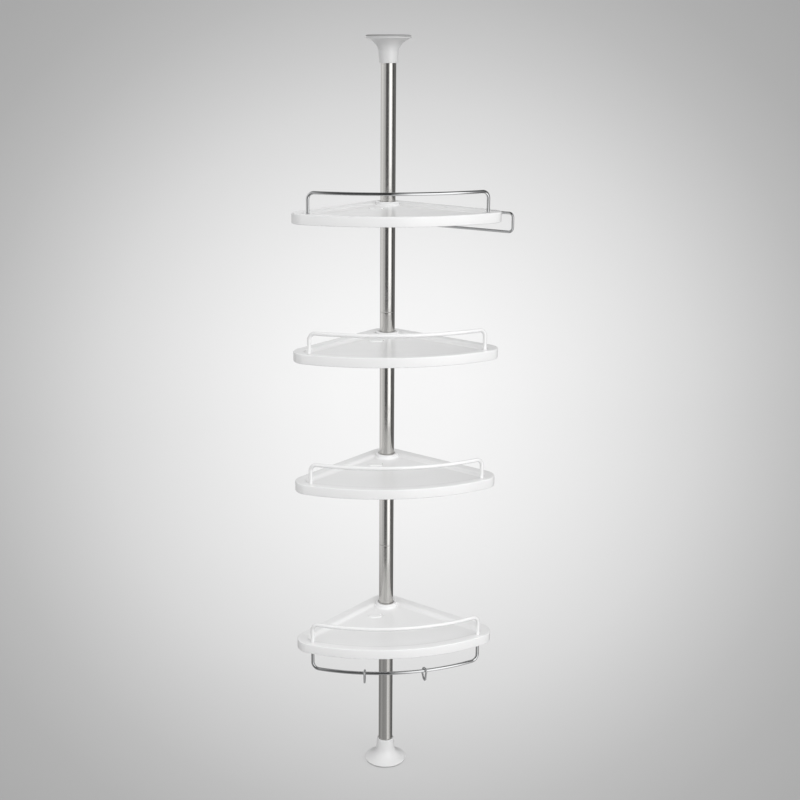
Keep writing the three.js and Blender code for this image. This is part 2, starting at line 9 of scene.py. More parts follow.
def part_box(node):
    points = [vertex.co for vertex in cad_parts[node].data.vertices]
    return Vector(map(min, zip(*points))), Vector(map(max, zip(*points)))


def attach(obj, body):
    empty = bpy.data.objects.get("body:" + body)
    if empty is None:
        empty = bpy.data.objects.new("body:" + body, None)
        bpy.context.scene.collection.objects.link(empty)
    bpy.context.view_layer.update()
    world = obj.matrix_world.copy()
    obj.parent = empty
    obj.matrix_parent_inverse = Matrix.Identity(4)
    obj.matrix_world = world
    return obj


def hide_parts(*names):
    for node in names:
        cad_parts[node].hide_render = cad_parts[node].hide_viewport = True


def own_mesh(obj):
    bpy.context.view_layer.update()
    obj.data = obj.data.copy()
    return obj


# Corner caddy on a tension pole. Its sizes are in millimetres and turned to metres in the mesh, and
# those of camera, lamps, floor and tent are in metres.
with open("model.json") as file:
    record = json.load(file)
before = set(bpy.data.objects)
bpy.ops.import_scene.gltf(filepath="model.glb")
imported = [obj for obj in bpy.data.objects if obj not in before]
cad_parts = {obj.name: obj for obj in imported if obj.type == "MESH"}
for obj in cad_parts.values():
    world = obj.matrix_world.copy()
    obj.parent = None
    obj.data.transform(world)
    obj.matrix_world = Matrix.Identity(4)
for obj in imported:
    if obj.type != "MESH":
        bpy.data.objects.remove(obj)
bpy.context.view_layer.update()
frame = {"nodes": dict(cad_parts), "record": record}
print("frame loaded", len(frame["nodes"]), "nodes")

mm = 0.001
turn = 2 * math.pi
fit = 0.3  # clearance between pieces that touch
sink = 0.03  # by which a fillet goes into the face that it meets
nearAxis = 0.02  # radius at which a turned piece's first and last rings are capped

hubRise = 1.8  # of a tray's hub over its rim
shelfRims = {
    name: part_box(name + "_tray")[1][2] / mm - hubRise for name in ("top", "upper", "lower", "bottom")
}

camera = {
    "place": (-0.24403, -2.12415, 1.26903),
    "right": (0.99243, -0.12259, 0.00705),
    "up": (0.02552, 0.26211, 0.96470),
    "ahead": (0.12011, 0.95722, -0.26325),
    "lens": 58.381,  # for a sensor 36 mm wide
}


# An object in the scene, with its mesh, camera or lamp
def placed(name, data):
    made = bpy.data.objects.new(name, data)
    bpy.context.scene.collection.objects.link(made)
    return made


# Camera first: it stands a little left of the middle, higher than the top tray, and looks down
def makeCamera():
    data = bpy.data.cameras.new("camera")
    data.lens = camera["lens"]
    axes = np.eye(4)
    axes[:3, 0] = camera["right"]
    axes[:3, 1] = camera["up"]
    axes[:3, 2] = -np.array(camera["ahead"])
    axes[:3, 3] = camera["place"]
    seen = placed("camera", data)
    seen.matrix_world = Matrix(axes.tolist())
    bpy.context.scene.camera = seen


makeCamera()


# Points on a circle's arc: centre plus radius times cosine and sine of evenly spaced angles
def arcPoints(x, y, radius, start, end, count):
    angle = np.radians(np.linspace(start, end, count))
    return np.stack([x + radius * np.cos(angle), y + radius * np.sin(angle)], 1)


# Points in a frame turned about its height by an angle: reach runs out along the angle, shift square
# to it, and both give x and y by cosine and sine
def atAngle(angle, reach, shift, height):
    c, s = math.cos(math.radians(angle)), math.sin(math.radians(angle))
    x, y = reach * c - shift * s, reach * s + shift * c
    return np.stack(np.broadcast_arrays(x, y, height), -1)


# A line between two points in even steps, the last one left out
def linePoints(start, end, count):
    share = np.arange(count)[:, None] / count
    return np.asarray(start) * (1 - share) + np.asarray(end) * share


# A bent wire's centre line in its own plane: each corner of the outline gives way to an arc of one
# radius, tangent to both straights, and all is set out at about one spacing
def bentLine(corners, radius, spacing):
    corners = [np.array(c, float) for c in corners]
    pieces, here = [], corners[0]
    for before, corner, after in zip(corners, corners[1:], corners[2:]):
        back = (before - corner) / np.linalg.norm(before - corner)
        on = (after - corner) / np.linalg.norm(after - corner)
        half = math.acos(np.clip(back @ on, -1, 1)) / 2
        reach = radius / math.tan(half)
        middle = (back + on) / np.linalg.norm(back + on)
        centre = corner + middle * radius / math.sin(half)
        first, last = corner + back * reach, corner + on * reach
        steps = max(2, round(np.linalg.norm(first - here) / spacing))
        pieces.append(linePoints(here, first, steps))
        start = math.degrees(math.atan2(*(first - centre)[::-1]))
        sweep = math.degrees(math.atan2(*(last - centre)[::-1])) - start
        sweep = (sweep + 180) % 360 - 180
        pieces.append(arcPoints(*centre, radius, start, start + sweep, 15)[:-1])
        here = last
    steps = max(2, round(np.linalg.norm(corners[-1] - here) / spacing))
    pieces.append(linePoints(here, corners[-1], steps))
    pieces.append(corners[-1][None])
    return np.concatenate(pieces)


# Puts a grid of points into a mesh. Each row closes on itself, the rows close where asked, and open
# ends are filled where asked. Faces are turned outwards by the sign of the enclosed volume.
def gridMesh(name, grid, closeRows=False, capEnds=False):
    rows, columns = grid.shape[:2]
    rowCount = rows if closeRows else rows - 1
    row, column = np.meshgrid(np.arange(rowCount), np.arange(columns), indexing="ij")
    nextRow, nextColumn = (row + 1) % rows, (column + 1) % columns
    quads = np.stack(
        [
            row * columns + column,
            row * columns + nextColumn,
            nextRow * columns + nextColumn,
            nextRow * columns + column,
        ],
        -1,
    ).reshape(-1, 4)
    points = grid.reshape(-1, 3)
    a, b, c, d = (points[quads[:, i]] for i in range(4))
    volume = np.einsum("ij,ij->", a, np.cross(b, c)) + np.einsum("ij,ij->", a, np.cross(c, d))
    faces = quads.tolist()
    if capEnds:
        faces.append(list(range(columns))[::-1])
        faces.append(list(range((rows - 1) * columns, rows * columns)))
    if volume < 0:
        faces = [face[::-1] for face in faces]
    mesh = bpy.data.meshes.new(name)
    mesh.from_pydata((points * mm).tolist(), [], faces)
    mesh.update()
    return mesh


# Revolved shape: each profile point (radius, height) is carried round the axis. A profile that starts
# and ends on the axis is capped just short of it, any other closes on itself. A part turn is filled at
# both ends.
def turnedMesh(name, profile, centre=(0, 0), sides=96, span=(0, 360)):
    profile = np.asarray(profile, float)
    onAxis = profile[0, 0] < 1e-6
    whole = abs(span[1] - span[0]) >= 360
    if onAxis:
        profile = profile.copy()
        profile[[0, -1], 0] = nearAxis
    if whole:
        angle = np.arange(sides) / sides * turn
    else:
        angle = np.radians(np.linspace(*span, sides))
    radius, height = profile[:, :1], profile[:, 1:]
    x = centre[0] + radius * np.cos(angle)
    y = centre[1] + radius * np.sin(angle)
    grid = np.stack([x, y, height + 0 * x], -1)
    if whole:
        return gridMesh(name, grid, closeRows=not onAxis, capEnds=onAxis)
    return gridMesh(name, grid.transpose(1, 0, 2), capEnds=True)


# A round wire: rings of one radius stand across the path, spanned by a given side vector and the
# vector square to it and to the tangent. Rounded tips shrink the last rings along a quarter circle.
def wireMesh(name, path, side, radius, sides=24, roundTips=False):
    tangent = np.gradient(path, axis=0)
    tangent /= np.linalg.norm(tangent, axis=1, keepdims=True)
    scale = np.ones(len(path))
    if roundTips:
        lift = np.radians(np.linspace(84, 12, 6))
        ahead, shrink = radius * np.sin(lift), np.cos(lift)
        path = np.concatenate([
            path[0] - tangent[0] * ahead[:, None],
            path,
            path[-1] + tangent[-1] * ahead[::-1, None],
        ])
        side, tangent = (
            np.concatenate([v[:1].repeat(len(lift), 0), v, v[-1:].repeat(len(lift), 0)])
            for v in (side, tangent)
        )
        scale = np.concatenate([shrink, scale, shrink[::-1]])
    side = side - tangent * np.einsum("ij,ij->i", side, tangent)[:, None]
    side /= np.linalg.norm(side, axis=1, keepdims=True)
    across = np.cross(tangent, side)
    angle = np.arange(sides) / sides * turn
    ring = np.cos(angle)[None, :, None] * side[:, None] + np.sin(angle)[None, :, None] * across[:, None]
    return gridMesh(name, path[:, None] + ring * (radius * scale)[:, None, None], capEnds=True)


# A finished piece: one object at the origin, smooth but for edges sharper than an angle
def piece(name, mesh, material, body, nodes, sharp=35):
    made = placed(name, mesh)
    mesh.materials.clear()
    mesh.materials.append(material)
    mesh.polygons.foreach_set("use_smooth", np.ones(len(mesh.polygons), bool))
    mesh.polygons.foreach_set("material_index", np.zeros(len(mesh.polygons), np.int32))
    mesh.set_sharp_from_angle(angle=math.radians(sharp))
    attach(made, body)
    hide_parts(*nodes)
    return made


# Joins or cuts a mesh with another and hands back the new mesh
def combined(base, tool, operation):
    held = [placed("held", base), placed("tool", tool)]
    step = held[0].modifiers.new("combine", "BOOLEAN")
    step.object, step.operation, step.solver = held[1], operation, "EXACT"
    bpy.context.view_layer.update()
    ready = held[0].evaluated_get(bpy.context.evaluated_depsgraph_get())
    result = bpy.data.meshes.new_from_object(ready)
    for one in held:
        bpy.data.objects.remove(one)
    return result


# Several closed meshes as one
def gathered(name, meshes):
    points, faces, first = [], [], 0
    for mesh in meshes:
        co = np.zeros(len(mesh.vertices) * 3, np.float32)
        mesh.vertices.foreach_get("co", co)
        points.append(co.reshape(-1, 3))
        faces += [[first + v for v in polygon.vertices] for polygon in mesh.polygons]
        first += len(mesh.vertices)
    whole = bpy.data.meshes.new(name)
    whole.from_pydata(np.concatenate(points).tolist(), [], faces)
    whole.update()
    return whole


# A copy of a mesh, each point moved up by a height
def liftedCopy(mesh, name, height):
    copy = mesh.copy()
    copy.name = name
    copy.transform(Matrix.Translation((0, 0, height * mm)))
    return copy


# Feeds a node's sockets, by place or label, with fixed values or other nodes' outputs
def feed(tree, node, inputs):
    for socket, value in inputs.items():
        if isinstance(value, bpy.types.NodeSocket):
            tree.links.new(value, node.inputs[socket])
        else:
            node.inputs[socket].default_value = value


# A node of one kind, set and fed. It hands back its outputs.
def newNode(tree, kind, inputs, **settings):
    node = tree.nodes.new("ShaderNode" + kind)
    for setting, value in settings.items():
        setattr(node, setting, value)
    feed(tree, node, inputs)
    return node.outputs


# A node group that puts out colour, roughness and height. Each input's kind follows from its value.
def newGroup(name, inputs):
    group = bpy.data.node_groups.new(name, "ShaderNodeTree")
    for label, value in inputs.items():
        kind = "NodeSocket" + {1: "Float", 3: "Vector", 4: "Color"}[np.size(value)]
        group.interface.new_socket(label, in_out="INPUT", socket_type=kind).default_value = value
    for label, kind in (("Colour", "Color"), ("Roughness", "Float"), ("Height", "Float")):
        group.interface.new_socket(label, in_out="OUTPUT", socket_type="NodeSocket" + kind)
    return group, group.nodes.new("NodeGroupInput").outputs, group.nodes.new("NodeGroupOutput")


# One sum on two numbers
def mathNode(tree, operation, first, second=0.0):
    return newNode(tree, "Math", {0: first, 1: second}, operation=operation)[0]


# One sum on two vectors
def vectorNode(tree, operation, first, second=(0, 0, 0)):
    outputs = newNode(tree, "VectorMath", {0: first, 1: second}, operation=operation)
    return outputs["Value" if operation == "DOT_PRODUCT" else "Vector"]


# Two colours, mixed or multiplied by a factor
def colourNode(tree, kind, factor, first, second):
    inputs = {0: factor, 6: first, 7: second}
    return newNode(tree, "Mix", inputs, data_type="RGBA", blend_type=kind)[2]


# Two shaders, mixed by a factor
def shaderNode(tree, factor, first, second):
    return newNode(tree, "MixShader", {0: factor, 1: first, 2: second})[0]


# Noise over points, finer with its scale
def noiseNode(tree, place, scale, detail=2.0):
    return newNode(tree, "TexNoise", {"Vector": place, "Scale": scale, "Detail": detail})["Fac"]


# Noise from 0.3 to 0.7, where nearly all of it lies, spread in proportion from low to high
def spread(tree, value, low, high):
    return newNode(tree, "MapRange", {
        "Value": value, "From Min": 0.3, "From Max": 0.7, "To Min": low, "To Max": high,
    })["Result"]


# A grey ramp over a value, from pairs of place and grey
def greyRamp(tree, value, pairs):
    ramp = tree.nodes.new("ShaderNodeValToRGB")
    feed(tree, ramp, {"Fac": value})
    while len(ramp.color_ramp.elements) < len(pairs):
        ramp.color_ramp.elements.new(0.5)
    for element, (position, grey) in zip(ramp.color_ramp.elements, pairs):
        element.position, element.color = position, (grey, grey, grey, 1)
    return ramp.outputs["Color"]


# Skin of a moulded or coated surface: slow waves, fine grain and a tone that drifts a little
def makeSkinGroup():
    tree, given, out = newGroup("mouldedSkin", {
        "Colour": (1, 1, 1, 1), "Drift": 0.02, "Gloss low": 0.3, "Gloss high": 0.4,
        "Wave size": 60.0, "Grain size": 1500.0, "Grain": 0.2,
    })
    place = newNode(tree, "TexCoord", {})["Object"]
    waves = noiseNode(tree, place, given["Wave size"])
    grain = noiseNode(tree, place, given["Grain size"], 3.0)
    clouds = noiseNode(tree, place, 14.0, 4.0)
    tone = spread(tree, clouds, mathNode(tree, "SUBTRACT", 1.0, given["Drift"]), 1.0)
    fine = mathNode(tree, "MULTIPLY", grain, given["Grain"])
    feed(tree, out, {
        "Colour": colourNode(tree, "MULTIPLY", 1.0, given["Colour"], tone),
        "Roughness": spread(tree, waves, given["Gloss low"], given["Gloss high"]),
        "Height": mathNode(tree, "ADD", waves, fine),
    })
    return tree


# Drawn and polished metal: streaks along the piece's length, with a few faint water marks
def makeDrawnGroup():
    tree, given, out = newGroup("drawnMetal", {
        "Colour": (1, 1, 1, 1), "Stretch": (1, 1, 0.01), "Drift": 0.05, "Gloss low": 0.15,
        "Gloss high": 0.25, "Streak size": 3000.0, "Marks": 0.05,
    })
    place = newNode(tree, "TexCoord", {})["Object"]
    long = vectorNode(tree, "MULTIPLY", place, given["Stretch"])
    streaks = noiseNode(tree, long, given["Streak size"])
    marks = noiseNode(tree, place, 45.0, 5.0)
    tone = spread(tree, streaks, mathNode(tree, "SUBTRACT", 1.0, given["Drift"]), 1.0)
    gloss = spread(tree, streaks, given["Gloss low"], given["Gloss high"])
    haze = mathNode(tree, "MULTIPLY", spread(tree, marks, 0.0, 1.0), given["Marks"])
    feed(tree, out, {
        "Colour": colourNode(tree, "MULTIPLY", 1.0, given["Colour"], tone),
        "Roughness": mathNode(tree, "ADD", gloss, haze),
        "Height": streaks,
    })
    return tree


# A fresh material and its node tree
def newMaterial(name):
    made = bpy.data.materials.new(name)
    made.use_nodes = True
    return made, made.node_tree


# A material: the group's colour and roughness feed the shader and its height a bump, and what is the
# same all over is set on the shader itself
def makeMaterial(name, group, values, bump, shader):
    made, tree = newMaterial(name)
    given = newNode(tree, "Group", values, node_tree=group)
    relief = {"Strength": bump[0], "Distance": bump[1], "Height": given["Height"]}
    feed(tree, tree.nodes["Principled BSDF"], {
        "Base Color": given["Colour"], "Roughness": given["Roughness"],
        "Normal": newNode(tree, "Bump", relief)["Normal"], **shader,
    })
    made.diffuse_color = values["Colour"]
    return made


skin, drawn = makeSkinGroup(), makeDrawnGroup()
whitePlastic = makeMaterial(
    "whitePlastic", skin,
    {"Colour": (0.9, 0.9, 0.9, 1), "Drift": 0.012, "Gloss low": 0.24, "Gloss high": 0.27,
     "Wave size": 40.0, "Grain size": 1400.0, "Grain": 0.3},
    (0.2, 0.0001), {"Specular IOR Level": 0.4},
)
cupPlastic = makeMaterial(
    "cupPlastic", skin,
    {"Colour": (0.77, 0.77, 0.77, 1), "Drift": 0.03, "Gloss low": 0.28, "Gloss high": 0.34,
     "Wave size": 50.0, "Grain size": 1400.0, "Grain": 0.3},
    (0.2, 0.00015), {"Specular IOR Level": 0.4},
)
whiteCoating = makeMaterial(
    "whiteCoating", skin,
    {"Colour": (0.92, 0.92, 0.92, 1), "Drift": 0.02, "Gloss low": 0.2, "Gloss high": 0.27,
     "Wave size": 180.0, "Grain size": 900.0, "Grain": 0.1},
    (0.3, 0.0003), {"Coat Weight": 0.3, "Coat Roughness": 0.12},
)
greyRubber = makeMaterial(
    "greyRubber", skin,
    {"Colour": (0.42, 0.42, 0.42, 1), "Drift": 0.12, "Gloss low": 0.7, "Gloss high": 0.85,
     "Wave size": 120.0, "Grain size": 2200.0, "Grain": 0.8},
    (0.5, 0.0004), {"Specular IOR Level": 0.3},
)
innerPlastic = makeMaterial(
    "innerPlastic", skin,
    {"Colour": (0.7, 0.7, 0.69, 1), "Drift": 0.05, "Gloss low": 0.45, "Gloss high": 0.6,
     "Wave size": 90.0, "Grain size": 1800.0, "Grain": 0.4},
    (0.4, 0.0004), {"Specular IOR Level": 0.4},
)
stainlessTube = makeMaterial(
    "stainlessTube", drawn,
    {"Colour": (0.62, 0.61, 0.59, 1), "Stretch": (1, 1, 0.004), "Drift": 0.04, "Gloss low": 0.16,
     "Gloss high": 0.21, "Streak size": 1600.0, "Marks": 0.03},
    (0.07, 0.0002), {"Metallic": 1.0},
)
chromeWire = makeMaterial(
    "chromeWire", drawn,
    {"Colour": (0.56, 0.565, 0.57, 1), "Stretch": (1, 1, 1), "Drift": 0.03, "Gloss low": 0.03,
     "Gloss high": 0.06, "Streak size": 260.0, "Marks": 0.03},
    (0.05, 0.0002), {"Metallic": 1.0},
)
springSteel = makeMaterial(
    "springSteel", drawn,
    {"Colour": (0.42, 0.42, 0.43, 1), "Stretch": (1, 1, 0.2), "Drift": 0.2, "Gloss low": 0.25,
     "Gloss high": 0.4, "Streak size": 900.0, "Marks": 0.1},
    (0.3, 0.0003), {"Metallic": 1.0},
)
print("materials made")


tray = {
    "apex": 47.0,  # sharp meeting point of the wall sides, behind the pole
    "wallSide": 256.0,
    "bow": 57.3,
    "cornerRadius": 29.0,
    "apexRadius": 30.0,
    "depth": 16.0,
    "outerEdge": 1.6,
    "lowerEdge": 1.2,
    "rimWidth": 14.1,  # flat part, up to where the recess's wall curves down
    "recess": 5.0,
    "floor": 3.0,
    "wallCurve": 7.0,  # radius of the wall's two arcs, and the angle at which they meet
    "wallSlope": 50.0,
    "hubFillet": 4.2,
    "hubUnderFillet": 2.0,
    "hubFoot": 0.8,  # rounded edge at its lower end
    "skirt": 2.6,
    "skirtFillet": 1.2,
    "skirtLip": 0.4,
    "core": 8.0,  # small circle inside the hub, at which the shell's profile starts
    "hub": 19.3,
    "hubDrop": 30.0,
    "hubEdge": 2.0,
    "boreTop": 14.3,
    "boreBottom": 16.3,
    "boreChamfer": 0.5,
    "rib": 1.8,
    "ribBearings": (-167, -134, -90, -46, -13),
    "gusset": 26.0,
    "boss": 6.5,
    "socketDepth": 7.7,
    "hangingSocket": 5.5,
    "pad": {"x": -24.5, "y": -46.0, "length": 24.0, "width": 13.0, "rise": 1.5},
    "drain": {"x": -13.0, "y": -41.5, "radius": 3.2},
}
trayUnder = -tray["recess"] - tray["floor"]  # the floor's underside
ribLow = 1 - tray["depth"]  # lower ends of ribs and bosses, a little inside the skirt
halfWidth = tray["wallSide"] * math.sqrt(0.5)
frontRadius = (halfWidth**2 + tray["bow"] ** 2) / (2 * tray["bow"])
frontCentre = tray["apex"] - halfWidth - tray["bow"] + frontRadius
apexCentre = tray["apex"] - tray["apexRadius"] * math.sqrt(2)
cornerLine = tray["apex"] - tray["cornerRadius"] * math.sqrt(2)
cornerReach = cornerLine - frontCentre
cornerX = (
    cornerReach + math.sqrt(2 * (frontRadius - tray["cornerRadius"]) ** 2 - cornerReach**2)
) / 2
cornerY = cornerLine - cornerX
cornerAngle = math.degrees(math.atan2(cornerY - frontCentre, cornerX))


# Shares along a wall side: a mean of even steps in length and, twice as heavy, even steps in bearing
# from the pole, so that both the rim and the hub get even points
def sideShares(start, end, count):
    even = np.linspace(0, 1, count)
    ground = start + (end - start) * np.linspace(0, 1, 400)[:, None]
    bearing = np.unwrap(np.arctan2(ground[:, 1], ground[:, 0]))
    byBearing = np.interp(np.linspace(bearing[0], bearing[-1], count), bearing, np.linspace(0, 1, 400))
    return (even + 2 * byBearing) / 3


# The tray's outline moved inwards: arcs keep their centres and angles and lose the inset from their
# radius, and the wall sides run between them. Every inset has the same points in the same order.
def outline(inset):
    front = arcPoints(0, frontCentre, frontRadius - inset, -180 - cornerAngle, cornerAngle, 111)
    right = arcPoints(cornerX, cornerY, tray["cornerRadius"] - inset, cornerAngle, 45, 27)
    apex = arcPoints(0, apexCentre, tray["apexRadius"] - inset, 45, 135, 33)
    left = right[::-1] * (-1, 1)
    shares = sideShares(right[-1], apex[0], 46)[1:-1, None]
    wall = right[-1] + (apex[0] - right[-1]) * shares
    return np.concatenate([front, right[1:], wall, apex, wall[::-1] * (-1, 1), left[:-1]])


# Inset at which the recess's flat floor starts
recessFoot = tray["rimWidth"] + 2 * tray["wallCurve"] * math.sin(math.radians(tray["wallSlope"]))
trayBearing = np.arctan2(*outline(recessFoot).T[::-1])


# One ring of the tray at a height
def ringAt(flat, height):
    return np.concatenate([flat, np.full((len(flat), 1), height)], 1)


# The tray's shell: one closed profile carried round the outline. It starts on a small circle inside the
# hub and runs out under the floor, up round the recess, along the rim's underside, down and up the
# skirt, in over the rim and down to the floor. Rounded edges are arcs in inset and height, the recess's
# wall is two arcs that meet on a slope, and inside it the rings go over from the outline to the circle
# in even shares.
def trayShell():
    t, rings = tray, []
    core = t["core"] * np.stack([np.cos(trayBearing), np.sin(trayBearing)], 1)
    foot, curve, lean = recessFoot, t["wallCurve"], 90 - t["wallSlope"]
    skirt, outer, lower = t["skirt"], t["outerEdge"], t["lowerEdge"]
    fillet, lip = t["skirtFillet"], t["skirtLip"]

    def edge(inset, height, radius, start, end, count):
        for offset, z in arcPoints(inset, height, radius, start, end, count):
            rings.append(ringAt(outline(offset), z))

    def blend(start, end):
        for share in np.linspace(0, 1, 14):
            rings.append(start * (1 - share) + end * share)

    blend(ringAt(core, trayUnder), ringAt(outline(foot), trayUnder))
    edge(foot, curve - t["recess"], curve + t["floor"], 264, 180 + lean, 9)
    edge(t["rimWidth"], -curve, curve - t["floor"], lean, 90, 5)
    edge(skirt + fillet, -t["floor"] - fillet, fillet, 90, 180, 4)
    edge(skirt - lip, lip - t["depth"], lip, 0, -90, 3)
    edge(lower, lower - t["depth"], lower, -90, -180, 6)
    edge(outer, -outer, outer, 180, 90, 8)
    edge(t["rimWidth"], -curve, curve, 90, lean, 9)
    edge(foot, curve - t["recess"], curve, 180 + lean, 264, 9)
    blend(ringAt(outline(foot), -t["recess"]), ringAt(core, -t["recess"]))
    return gridMesh("shell", np.stack(rings), closeRows=True)


# The hub: a turned post with a rounded lip, and fillets that sink a hair into both faces of the floor
def hubMesh():
    t, hub = tray, tray["hub"]
    wide, foot, fillet = hub + t["hubFillet"], t["hubFoot"], t["hubUnderFillet"]
    tuck = 0.4  # by which the upper fillet goes into the post
    profile = np.concatenate([
        [(0, -t["hubDrop"])],
        arcPoints(hub - foot, foot - t["hubDrop"], foot, -90, 0, 4),
        arcPoints(hub + fillet, trayUnder - fillet + sink, fillet, 180, 90, 5),
        [(wide, trayUnder + 1)],
        arcPoints(wide - tuck, t["hubFillet"] - t["recess"] - sink, t["hubFillet"], 270, 180, 9),
        arcPoints(hub - t["hubEdge"], hubRise - t["hubEdge"], t["hubEdge"], 0, 90, 8),
        [(0, hubRise)],
    ])
    return turnedMesh("hub", profile, sides=120)


# The hub's bore: a cone that widens downwards, chamfered at its mouth, and runs on past both ends
def boreMesh():
    top, low, chamfer = tray["boreTop"], tray["boreBottom"], tray["boreChamfer"]
    start, end = -34, 4
    return turnedMesh(
        "bore",
        [(0, start), (low + 0.25, start), (low, -tray["hubDrop"]), (top, hubRise - chamfer),
         (top + chamfer, hubRise), (top + 0.9, end), (0, end)],
        sides=120,
    )


# A flat plate on edge that runs out from the pole: its outline (reach, height) is drawn on both sides
def finMesh(points, thickness, bearing):
    reach, height = np.asarray(points, float).T
    sides = [atAngle(bearing, reach, shift, height) for shift in (-thickness / 2, thickness / 2)]
    return gridMesh("fin", np.stack(sides), capEnds=True)


# How far the tray's outline lies from the pole along a bearing
def outlineReach(bearing, inset):
    points = outline(inset)
    angle = np.degrees(np.arctan2(points[:, 1], points[:, 0]))
    order = np.argsort(angle)
    return float(np.interp(bearing, angle[order], np.hypot(*points.T)[order]))


# Ribs under the tray: each stands on edge below the rim and the recess, its upper line halfway into
# the moulding's wall, and grows into a gusset at the hub
def trayFins():
    t, low, half = tray, ribLow, tray["floor"] / 2
    curve, lean = t["wallCurve"], 90 - t["wallSlope"]
    start = (t["hub"] + t["boreBottom"]) / 2 + 0.2  # inside the hub's wall
    fins = []
    for bearing in t["ribBearings"]:
        end = outlineReach(bearing, t["skirt"] / 2)
        turnLine = arcPoints(recessFoot, curve - t["recess"], curve + half, 180 + lean, 270, 5)
        top = [(outlineReach(bearing, inset), height) for inset, height in turnLine]
        fins.append(finMesh(
            [(start, 2 - t["hubDrop"]), (t["hub"], 2 - t["hubDrop"]), (t["hub"] + t["gusset"], low),
             (end, low), (end, -half), (top[0][0], -half), *top, (start, top[-1][1])],
            t["rib"], bearing,
        ))
    return gathered("fins", fins)


# A post under the rim round a rail's leg, with a fillet where it meets the rim's underside
def bossMesh(x, y):
    boss, under, flare, edge = tray["boss"], -tray["floor"], 1.5, 0.4
    profile = np.concatenate([
        [(0, ribLow), (boss - edge, ribLow), (boss, ribLow + edge)],
        arcPoints(boss + flare, under - flare + sink, flare, 180, 90, 6),
        [(boss + flare, under / 2), (0, under / 2)],
    ])
    return turnedMesh("boss", profile, (x, y), 48)


# The oval pad: a stadium outline whose rings draw in and rise along a quarter circle
def padMesh():
    p = tray["pad"]
    end, half = p["width"] / 2, (p["length"] - p["width"]) / 2
    rings = []
    for inset, rise in [(0, -p["rise"]), *arcPoints(p["rise"], 0, p["rise"], 180, 90, 6)]:
        right = arcPoints(p["x"] + half, p["y"], end - inset, -90, 90, 24)
        left = arcPoints(p["x"] - half, p["y"], end - inset, 90, 270, 24)
        rings.append(ringAt(np.concatenate([right, left]), rise - tray["recess"]))
    return gridMesh("pad", np.stack(rings), capEnds=True)


# A plain round pin between two heights
def pinMesh(x, y, radius, low, high, sides=40):
    return turnedMesh("pin", [(0, low), (radius, low), (radius, high), (0, high)], (x, y), sides)


wires = {
    "inset": 11.5,
    "halfSpan": 139.3,
    "height": 32.5,
    "bend": 11.0,
    "coated": 3.2,
    "chrome": 2.6,
    "hanging": 2.7,
    "hangingDrop": 31.0,
}
railRadius = frontRadius - wires["inset"]
railY = frontCentre - math.sqrt(railRadius**2 - wires["halfSpan"] ** 2)

loop = {
    "bearing": -39.0,
    "reach": 230.0,
    "drop": 1.9,
    "height": 29.3,
    "bend": 7.0,
    "wire": 2.1,
    "upperEnd": 184.0,
    "innerEnd": 60.0,
    "blockWall": 2.6,
    "blockDrop": 0.7,
    "grooveEnd": 260.0,  # past the tray's edge
    "socketDrop": 8.5,
    "socketWall": 2.2,
}


# The block in the top tray's corner that holds the loop: a rounded bar along the loop's bearing, cut
# where it would leave the rim
def loopBlock():
    groove = loop["wire"] + fit
    wide = groove + loop["blockWall"]
    low, high, edge = -tray["recess"] - tray["floor"] / 2, -loop["blockDrop"], 0.9
    start = loop["upperEnd"] - fit - loop["blockWall"]
    end = outlineReach(loop["bearing"], tray["skirt"] / 2)
    section = np.concatenate([
        [(-wide, low)],
        arcPoints(-wide + edge, high - edge, edge, 180, 90, 5),
        arcPoints(wide - edge, high - edge, edge, 90, 0, 5),
        [(wide, low)],
    ])
    shift, rise = section[:, 0], section[:, 1] - low
    rows = [
        atAngle(loop["bearing"], reach, shift * narrow, low + rise * flat)
        for reach, narrow, flat in ((start, 0.86, 0.93), (start + edge, 1, 1), (end, 1, 1))
    ]
    return gridMesh("block", np.stack(rows), capEnds=True)


# The groove along the loop's upper wire: a keyhole section, round below and open above
def loopGroove():
    radius = loop["wire"] + fit
    section = np.concatenate([
        [(-radius, 6)],
        arcPoints(0, -loop["drop"], radius, 180, 360, 19),
        [(radius, 6)],
    ])
    ends = (loop["upperEnd"] - fit, loop["grooveEnd"])
    rows = [atAngle(loop["bearing"], reach, *section.T) for reach in ends]
    return gridMesh("groove", np.stack(rows), capEnds=True)


# The socket under the floor for the loop's inner end, and its place
def loopBoss():
    radius = loop["wire"] + fit + loop["socketWall"]
    x, y, under = atAngle(loop["bearing"], loop["innerEnd"], 0, trayUnder)
    return pinMesh(x, y, radius, under - loop["socketDrop"], under + 1), (x, y, under)


# A whole tray: shell, ribs, hub, bosses and pad joined, then bore, sockets and drain cut by tools that
# run on past the faces they cut
def trayMesh(shell, railWire, hangingRail=False, towelLoop=False):
    ends, drain = (-wires["halfSpan"], wires["halfSpan"]), tray["drain"]
    added = [bossMesh(x, railY) for x in ends]
    cutters = [pinMesh(x, railY, railWire + fit, -tray["socketDepth"], 4) for x in ends]
    cutters += [pinMesh(drain["x"], drain["y"], drain["radius"], -40, 0, 32), boreMesh()]
    if hangingRail:
        top = ribLow + tray["hangingSocket"]
        cutters += [pinMesh(x, railY, wires["hanging"] + fit, -30, top) for x in ends]
    if towelLoop:
        boss, (x, y, under) = loopBoss()
        added += [loopBlock(), boss]
        cutters += [loopGroove(), pinMesh(x, y, loop["wire"] + fit, -40, under)]
    made = shell.copy()
    for extra in (trayFins(), hubMesh(), gathered("added", added), padMesh()):
        made = combined(made, extra, "UNION")
    return combined(made, gathered("cutters", cutters), "DIFFERENCE")


